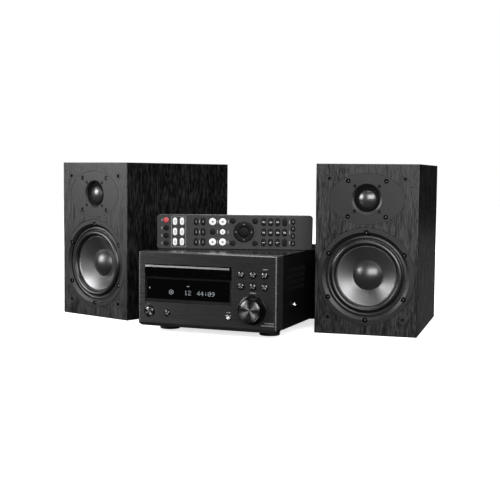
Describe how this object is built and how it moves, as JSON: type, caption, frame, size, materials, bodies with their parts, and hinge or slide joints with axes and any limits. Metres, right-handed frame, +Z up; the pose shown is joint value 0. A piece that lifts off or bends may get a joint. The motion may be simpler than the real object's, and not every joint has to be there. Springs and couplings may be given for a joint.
{
  "type": "mini hifi system",
  "caption": "Compact CD receiver with a volume knob, sliding disc tray and display, flanked by wood-grain bookshelf speakers, with a many-keyed remote standing on top.",
  "frame": {"origin": "the floor under the middle of the whole set, which is the middle of its box seen from above", "axes": "+Z up, +X to the right along the receiver's front, +Y to its back; the fascia faces -Y"},
  "size_m": [0.5782, 0.3644, 0.24],
  "materials": {
    "fascia_metal": "brushed, anodised graphite",
    "window_gloss": "polished",
    "circuit_board": "lacquered board",
    "connector_metal": "plated",
    "sheet_steel": "zinc plated",
    "cover_steel": "fine textured black paint",
    "top_gloss": "polished",
    "transformer_steel": "laminated core, taped coil",
    "inner_plastic": "moulded",
    "foot_rubber": "moulded",
    "screw_chrome": "bright",
    "knob_black": "black sides, turned metal face",
    "button_dark": "satin metallic",
    "remote_plastic": "fine spark texture",
    "battery_metal": "printed sleeve",
    "key_red": "satin silicone",
    "key_dark": "satin silicone",
    "key_white": "satin silicone",
    "ash_vinyl": "embossed black ash vinyl",
    "baffle_vinyl": "embossed black ash vinyl",
    "socket_plastic": "moulded",
    "driver_plastic": "fine moulded texture",
    "surround_rubber": "smooth butyl",
    "magnet_steel": "ferrite and plated steel",
    "screw_black": "black oxide",
    "cone_coated": "satin metallic coating",
    "cap_gloss": "polished",
    "dome_silk": "doped silk"
  },
  "bodies": {
    "receiver": {"fascia": "fascia_metal", "display_window": "window_gloss", "front_board": "circuit_board", "headphone_jack": "connector_metal", "chassis_tray": "sheet_steel", "top_cover": "cover_steel", "top_plate": "top_gloss", "rear_panel": "cover_steel", "rear_connectors": "connector_metal", "main_board": "circuit_board", "power_transformer": "transformer_steel", "cd_loader": "inner_plastic", "receiver_feet": "foot_rubber", "case_screws": "screw_chrome"},
    "tray": {"disc_tray": "inner_plastic", "tray_front": "window_gloss"},
    "turntable": {"turntable_hub": "inner_plastic"},
    "volume": {"volume_knob": "knob_black"},
    "power": {"power_button": "button_dark"},
    "source": {"source_button": "button_dark"},
    "top_left_key": {"key_top_left": "button_dark"},
    "top_middle_key": {"key_top_middle": "button_dark"},
    "top_right_key": {"key_top_right": "button_dark"},
    "low_left_key": {"key_low_left": "button_dark"},
    "low_middle_key": {"key_low_middle": "button_dark"},
    "low_right_key": {"key_low_right": "button_dark"},
    "left_speaker": {"left_cabinet": "ash_vinyl", "left_front_baffle": "baffle_vinyl", "left_grille_sockets": "socket_plastic", "left_woofer_frame": "driver_plastic", "left_woofer_surround": "surround_rubber", "left_woofer_motor": "magnet_steel", "left_tweeter_plate": "driver_plastic", "left_driver_screws": "screw_black", "left_terminal_plate": "driver_plastic"},
    "left_cone": {"left_woofer_cone": "cone_coated", "left_dust_cap": "cap_gloss"},
    "left_dome": {"left_tweeter_dome": "dome_silk"},
    "right_speaker": {"right_cabinet": "ash_vinyl", "right_front_baffle": "baffle_vinyl", "right_grille_sockets": "socket_plastic", "right_woofer_frame": "driver_plastic", "right_woofer_surround": "surround_rubber", "right_woofer_motor": "magnet_steel", "right_tweeter_plate": "driver_plastic", "right_driver_screws": "screw_black", "right_terminal_plate": "driver_plastic"},
    "right_cone": {"right_woofer_cone": "cone_coated", "right_dust_cap": "cap_gloss"},
    "right_dome": {"right_tweeter_dome": "dome_silk"},
    "remote": {"remote_front_case": "remote_plastic", "remote_back_case": "remote_plastic", "remote_board": "circuit_board", "remote_batteries": "battery_metal"},
    "battery_cover": {"battery_door": "remote_plastic"},
    "power_switch": {"power_key": "key_red"},
    "cursor": {"direction_ring": "key_dark"},
    "enter": {"enter_key": "key_dark"},
    "light_keypad": {"white_keys": "key_white"},
    "dark_keypad": {"dark_keys": "key_dark"}
  },
  "joints": [
    {"name": "tray_slide", "type": "slide", "parent": "receiver", "child": "tray", "axis": [0, -1, 0], "range_m": [0, 0.125]},
    {"name": "turntable_spin", "type": "hinge", "parent": "receiver", "child": "turntable", "pos_m": [-0.01222, -0.10078, 0.08], "axis": [0, 0, 1], "continuous": true},
    {"name": "volume_turn", "type": "hinge", "parent": "receiver", "child": "volume", "pos_m": [0.08599, -0.17078, 0.0402], "axis": [0, -1, 0], "continuous": true},
    {"name": "power_press", "type": "slide", "parent": "receiver", "child": "power", "axis": [0, 1, 0], "range_m": [0, 0.001], "stiffness_N_per_m": 500, "springref_m": -0.0002},
    {"name": "source_press", "type": "slide", "parent": "receiver", "child": "source", "axis": [0, 1, 0], "range_m": [0, 0.001], "stiffness_N_per_m": 500, "springref_m": -0.0002},
    {"name": "top_left_press", "type": "slide", "parent": "receiver", "child": "top_left_key", "axis": [0, 1, 0], "range_m": [0, 0.001], "stiffness_N_per_m": 500, "springref_m": -0.0002},
    {"name": "top_middle_press", "type": "slide", "parent": "receiver", "child": "top_middle_key", "axis": [0, 1, 0], "range_m": [0, 0.001], "stiffness_N_per_m": 500, "springref_m": -0.0002},
    {"name": "top_right_press", "type": "slide", "parent": "receiver", "child": "top_right_key", "axis": [0, 1, 0], "range_m": [0, 0.001], "stiffness_N_per_m": 500, "springref_m": -0.0002},
    {"name": "low_left_press", "type": "slide", "parent": "receiver", "child": "low_left_key", "axis": [0, 1, 0], "range_m": [0, 0.001], "stiffness_N_per_m": 500, "springref_m": -0.0002},
    {"name": "low_middle_press", "type": "slide", "parent": "receiver", "child": "low_middle_key", "axis": [0, 1, 0], "range_m": [0, 0.001], "stiffness_N_per_m": 500, "springref_m": -0.0002},
    {"name": "low_right_press", "type": "slide", "parent": "receiver", "child": "low_right_key", "axis": [0, 1, 0], "range_m": [0, 0.001], "stiffness_N_per_m": 500, "springref_m": -0.0002},
    {"name": "left_speaker_shift", "type": "slide", "parent": "receiver", "child": "left_speaker", "axis": [-1, 0, 0], "range_m": [0, 0.3]},
    {"name": "left_cone_travel", "type": "slide", "parent": "left_speaker", "child": "left_cone", "axis": [-0.3084, -0.9513, 0], "range_m": [-0.003, 0.003], "stiffness_N_per_m": 1200},
    {"name": "left_dome_travel", "type": "slide", "parent": "left_speaker", "child": "left_dome", "axis": [-0.3084, -0.9513, 0], "range_m": [-0.0003, 0.0003], "stiffness_N_per_m": 2000},
    {"name": "right_speaker_shift", "type": "slide", "parent": "receiver", "child": "right_speaker", "axis": [1, 0, 0], "range_m": [0, 0.3]},
    {"name": "right_cone_travel", "type": "slide", "parent": "right_speaker", "child": "right_cone", "axis": [0.0912, -0.9958, 0], "range_m": [-0.003, 0.003], "stiffness_N_per_m": 1200},
    {"name": "right_dome_travel", "type": "slide", "parent": "right_speaker", "child": "right_dome", "axis": [0.0912, -0.9958, 0], "range_m": [-0.0003, 0.0003], "stiffness_N_per_m": 2000},
    {"name": "remote_lift", "type": "slide", "parent": "receiver", "child": "remote", "axis": [0, 0, 1], "range_m": [0, 0.15]},
    {"name": "battery_door_pull", "type": "slide", "parent": "remote", "child": "battery_cover", "axis": [-0.3509, 0.9364, 0], "range_m": [0, 0.03]},
    {"name": "remote_power_press", "type": "slide", "parent": "remote", "child": "power_switch", "axis": [-0.3509, 0.9364, 0], "range_m": [0, 0.0008], "stiffness_N_per_m": 400, "springref_m": -0.0002},
    {"name": "cursor_press", "type": "slide", "parent": "remote", "child": "cursor", "axis": [-0.3509, 0.9364, 0], "range_m": [0, 0.0008], "stiffness_N_per_m": 400, "springref_m": -0.0002},
    {"name": "enter_press", "type": "slide", "parent": "remote", "child": "enter", "axis": [-0.3509, 0.9364, 0], "range_m": [0, 0.0008], "stiffness_N_per_m": 400, "springref_m": -0.0002},
    {"name": "light_keypad_press", "type": "slide", "parent": "remote", "child": "light_keypad", "axis": [-0.3509, 0.9364, 0], "range_m": [0, 0.0008], "stiffness_N_per_m": 400, "springref_m": -0.0002},
    {"name": "dark_keypad_press", "type": "slide", "parent": "remote", "child": "dark_keypad", "axis": [-0.3509, 0.9364, 0], "range_m": [0, 0.0008], "stiffness_N_per_m": 400, "springref_m": -0.0002}
  ]
}
